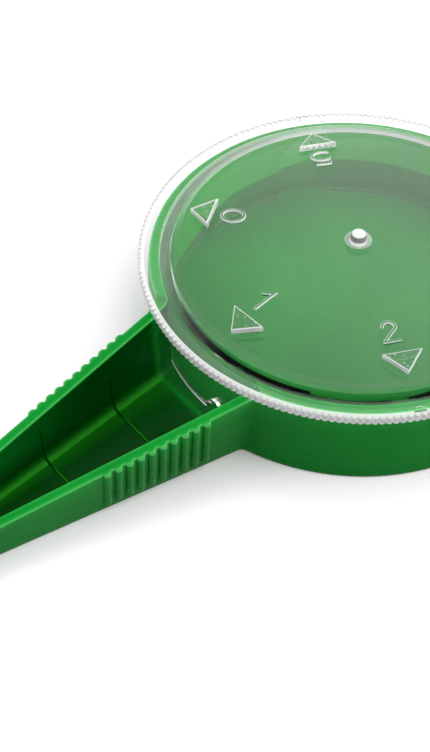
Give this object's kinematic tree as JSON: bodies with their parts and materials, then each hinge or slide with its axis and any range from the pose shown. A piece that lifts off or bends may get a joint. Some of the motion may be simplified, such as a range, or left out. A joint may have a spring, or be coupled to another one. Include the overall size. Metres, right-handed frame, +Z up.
{
  "type": "dial seed sower",
  "caption": "Hand seed sower: a round bowl with an open tapering chute and a clear turning dial whose notches meter the seeds.",
  "frame": {"origin": "the dial's axis where it meets the base plane that the sower lies on", "axes": "+X along the chute from the bowl to the spout, +Z up along the dial's axis, +Y to the left of the chute"},
  "size_m": [0.1305, 0.065, 0.0188],
  "materials": {
    "body_plastic": "satin gloss moulded green plastic",
    "dial_plastic": "clear moulded plastic"
  },
  "bodies": {
    "body": {"body": "body_plastic"},
    "dial": {"dial": "dial_plastic"}
  },
  "joints": [
    {"name": "dial_turn", "type": "hinge", "parent": "body", "child": "dial", "pos_m": [0, 0, 0], "axis": [0, 0, 1], "continuous": true}
  ]
}
